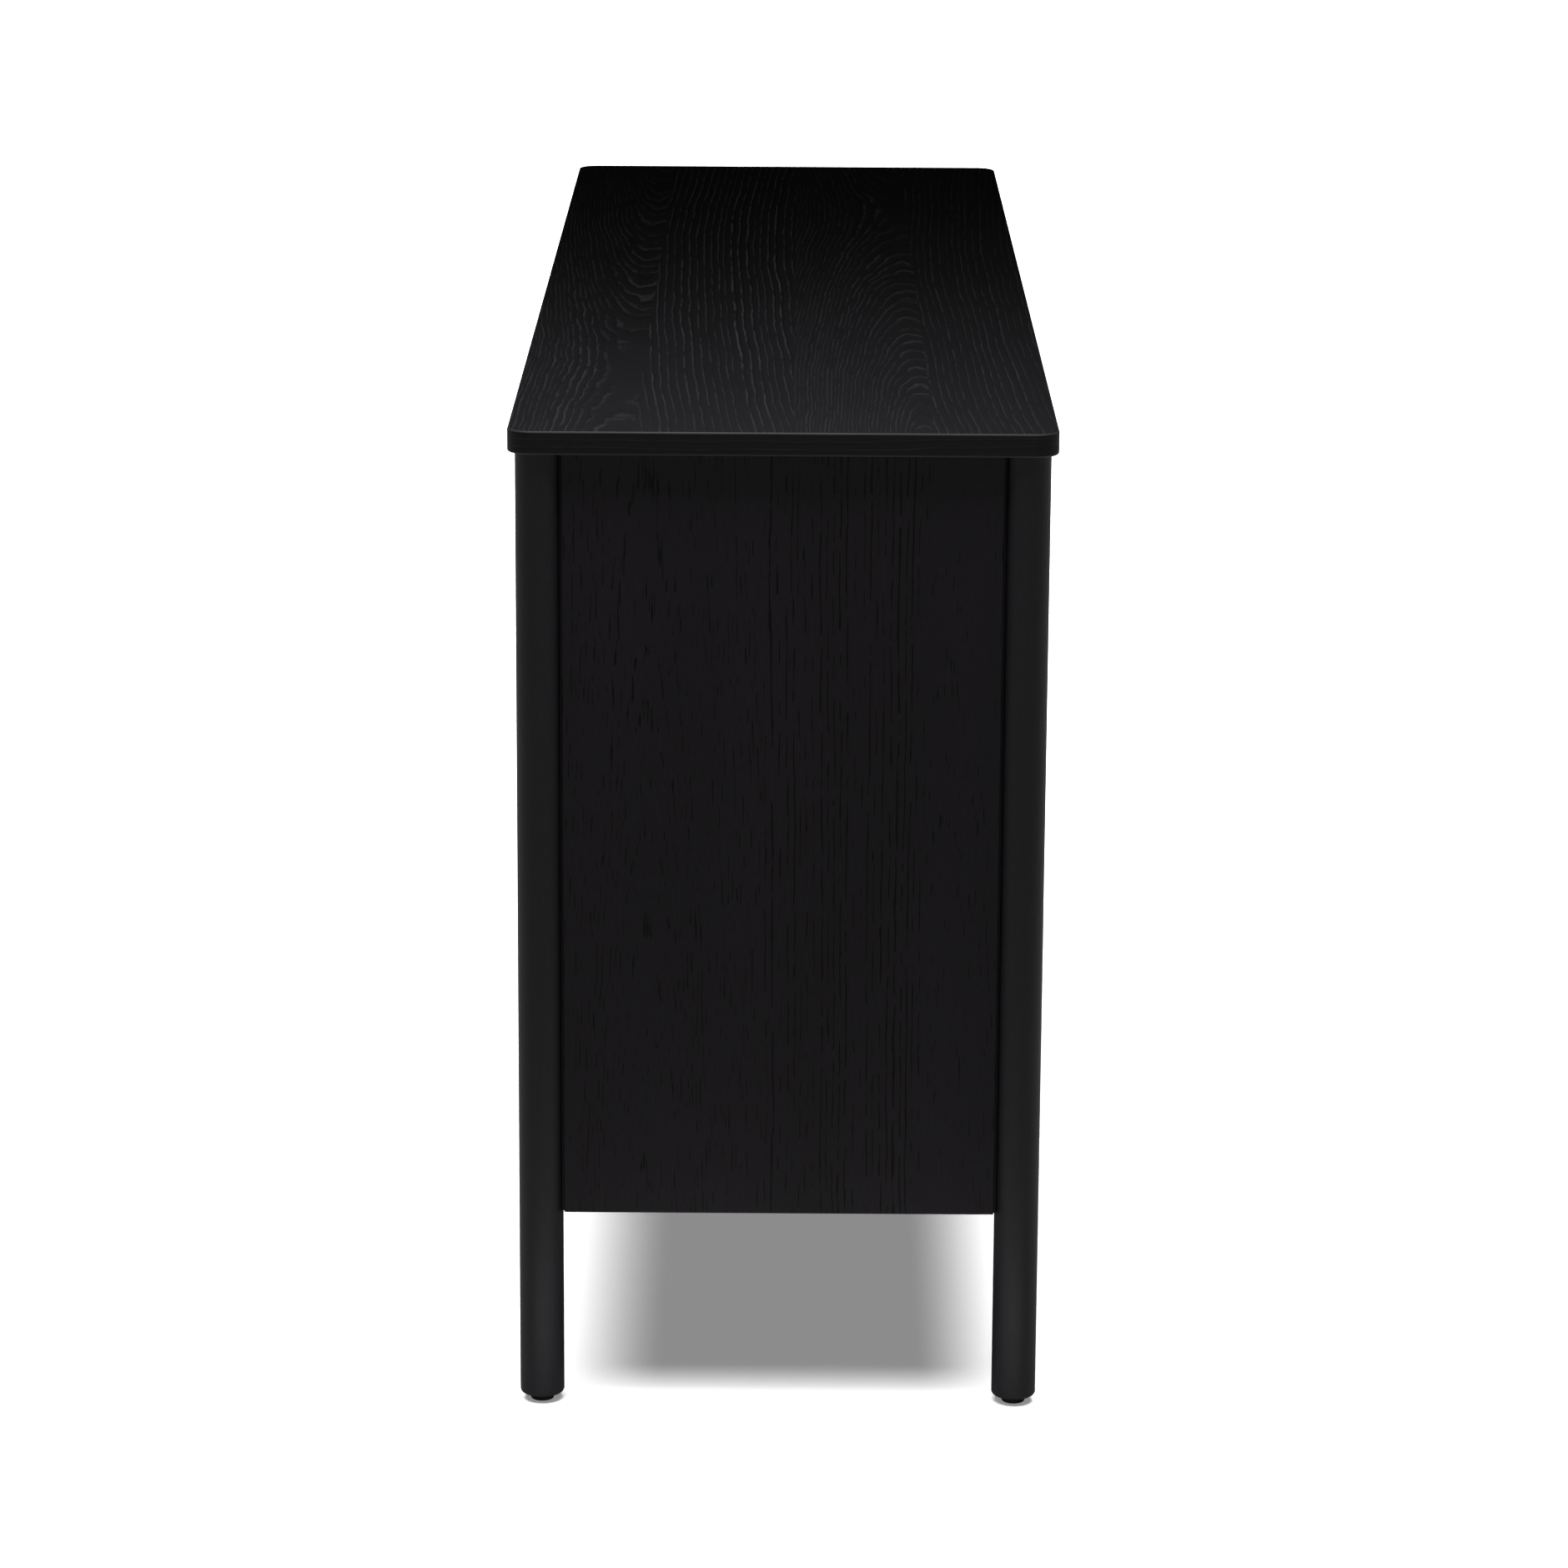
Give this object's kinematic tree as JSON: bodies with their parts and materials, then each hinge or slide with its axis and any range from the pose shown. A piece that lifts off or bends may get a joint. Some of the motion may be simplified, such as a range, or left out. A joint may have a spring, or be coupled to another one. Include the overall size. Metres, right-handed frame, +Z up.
{
  "type": "dresser with drawers",
  "caption": "Long low dresser in black-stained oak: a slab top on round corner posts, panelled sides, and rows of drawers that open by finger gaps on telescopic slides.",
  "frame": {"origin": "on the floor, under the middle of the top", "axes": "+Z up, X along the front (the long way), the drawers open towards -Y"},
  "size_m": [1.6, 0.457, 0.853],
  "materials": {
    "oak": "satin black-stained oak",
    "inner_wood": "black-stained, matte",
    "drawer_wood": "clear-lacquered birch",
    "glide": "moulded",
    "slide_steel": "zinc plated",
    "screw_steel": "zinc plated"
  },
  "bodies": {
    "case": {"top_panel": "oak", "post_front_left": "oak", "post_front_right": "oak", "post_back_left": "oak", "post_back_right": "oak", "side_panel_left": "oak", "side_panel_right": "oak", "foot_glides": "glide", "bottom_panel": "oak", "back_panel": "oak", "centre_divider": "oak", "front_top_rail": "oak", "back_top_rail": "inner_wood", "drawer_rails": "oak", "slide_spacers": "inner_wood", "slide_outer_members": "slide_steel", "slide_screws": "screw_steel", "top_screws": "screw_steel"},
    "drawer_1": {"drawer_1_front": "oak", "drawer_1_left_side": "drawer_wood", "drawer_1_right_side": "drawer_wood", "drawer_1_back": "drawer_wood", "drawer_1_bottom": "drawer_wood", "drawer_1_slide_inner": "slide_steel"},
    "drawer_1_middle_members": {"drawer_1_slide_middle": "slide_steel"},
    "drawer_2": {"drawer_2_front": "oak", "drawer_2_left_side": "drawer_wood", "drawer_2_right_side": "drawer_wood", "drawer_2_back": "drawer_wood", "drawer_2_bottom": "drawer_wood", "drawer_2_slide_inner": "slide_steel"},
    "drawer_2_middle_members": {"drawer_2_slide_middle": "slide_steel"},
    "drawer_3": {"drawer_3_front": "oak", "drawer_3_left_side": "drawer_wood", "drawer_3_right_side": "drawer_wood", "drawer_3_back": "drawer_wood", "drawer_3_bottom": "drawer_wood", "drawer_3_slide_inner": "slide_steel"},
    "drawer_3_middle_members": {"drawer_3_slide_middle": "slide_steel"},
    "drawer_4": {"drawer_4_front": "oak", "drawer_4_left_side": "drawer_wood", "drawer_4_right_side": "drawer_wood", "drawer_4_back": "drawer_wood", "drawer_4_bottom": "drawer_wood", "drawer_4_slide_inner": "slide_steel"},
    "drawer_4_middle_members": {"drawer_4_slide_middle": "slide_steel"},
    "drawer_5": {"drawer_5_front": "oak", "drawer_5_left_side": "drawer_wood", "drawer_5_right_side": "drawer_wood", "drawer_5_back": "drawer_wood", "drawer_5_bottom": "drawer_wood", "drawer_5_slide_inner": "slide_steel"},
    "drawer_5_middle_members": {"drawer_5_slide_middle": "slide_steel"},
    "drawer_6": {"drawer_6_front": "oak", "drawer_6_left_side": "drawer_wood", "drawer_6_right_side": "drawer_wood", "drawer_6_back": "drawer_wood", "drawer_6_bottom": "drawer_wood", "drawer_6_slide_inner": "slide_steel"},
    "drawer_6_middle_members": {"drawer_6_slide_middle": "slide_steel"}
  },
  "joints": [
    {"name": "drawer_1_slide", "type": "slide", "parent": "case", "child": "drawer_1", "axis": [0, -1, 0], "range_m": [0, 0.34]},
    {"name": "drawer_1_middle_slide", "type": "slide", "parent": "case", "child": "drawer_1_middle_members", "axis": [0, -1, 0], "range_m": [0, 0.17]},
    {"name": "drawer_2_slide", "type": "slide", "parent": "case", "child": "drawer_2", "axis": [0, -1, 0], "range_m": [0, 0.34]},
    {"name": "drawer_2_middle_slide", "type": "slide", "parent": "case", "child": "drawer_2_middle_members", "axis": [0, -1, 0], "range_m": [0, 0.17]},
    {"name": "drawer_3_slide", "type": "slide", "parent": "case", "child": "drawer_3", "axis": [0, -1, 0], "range_m": [0, 0.34]},
    {"name": "drawer_3_middle_slide", "type": "slide", "parent": "case", "child": "drawer_3_middle_members", "axis": [0, -1, 0], "range_m": [0, 0.17]},
    {"name": "drawer_4_slide", "type": "slide", "parent": "case", "child": "drawer_4", "axis": [0, -1, 0], "range_m": [0, 0.34]},
    {"name": "drawer_4_middle_slide", "type": "slide", "parent": "case", "child": "drawer_4_middle_members", "axis": [0, -1, 0], "range_m": [0, 0.17]},
    {"name": "drawer_5_slide", "type": "slide", "parent": "case", "child": "drawer_5", "axis": [0, -1, 0], "range_m": [0, 0.34]},
    {"name": "drawer_5_middle_slide", "type": "slide", "parent": "case", "child": "drawer_5_middle_members", "axis": [0, -1, 0], "range_m": [0, 0.17]},
    {"name": "drawer_6_slide", "type": "slide", "parent": "case", "child": "drawer_6", "axis": [0, -1, 0], "range_m": [0, 0.34]},
    {"name": "drawer_6_middle_slide", "type": "slide", "parent": "case", "child": "drawer_6_middle_members", "axis": [0, -1, 0], "range_m": [0, 0.17]}
  ],
  "couplings": [
    {"joint": "drawer_1_middle_slide", "follows": "drawer_1_slide", "ratio": 0.5},
    {"joint": "drawer_2_middle_slide", "follows": "drawer_2_slide", "ratio": 0.5},
    {"joint": "drawer_3_middle_slide", "follows": "drawer_3_slide", "ratio": 0.5},
    {"joint": "drawer_4_middle_slide", "follows": "drawer_4_slide", "ratio": 0.5},
    {"joint": "drawer_5_middle_slide", "follows": "drawer_5_slide", "ratio": 0.5},
    {"joint": "drawer_6_middle_slide", "follows": "drawer_6_slide", "ratio": 0.5}
  ]
}
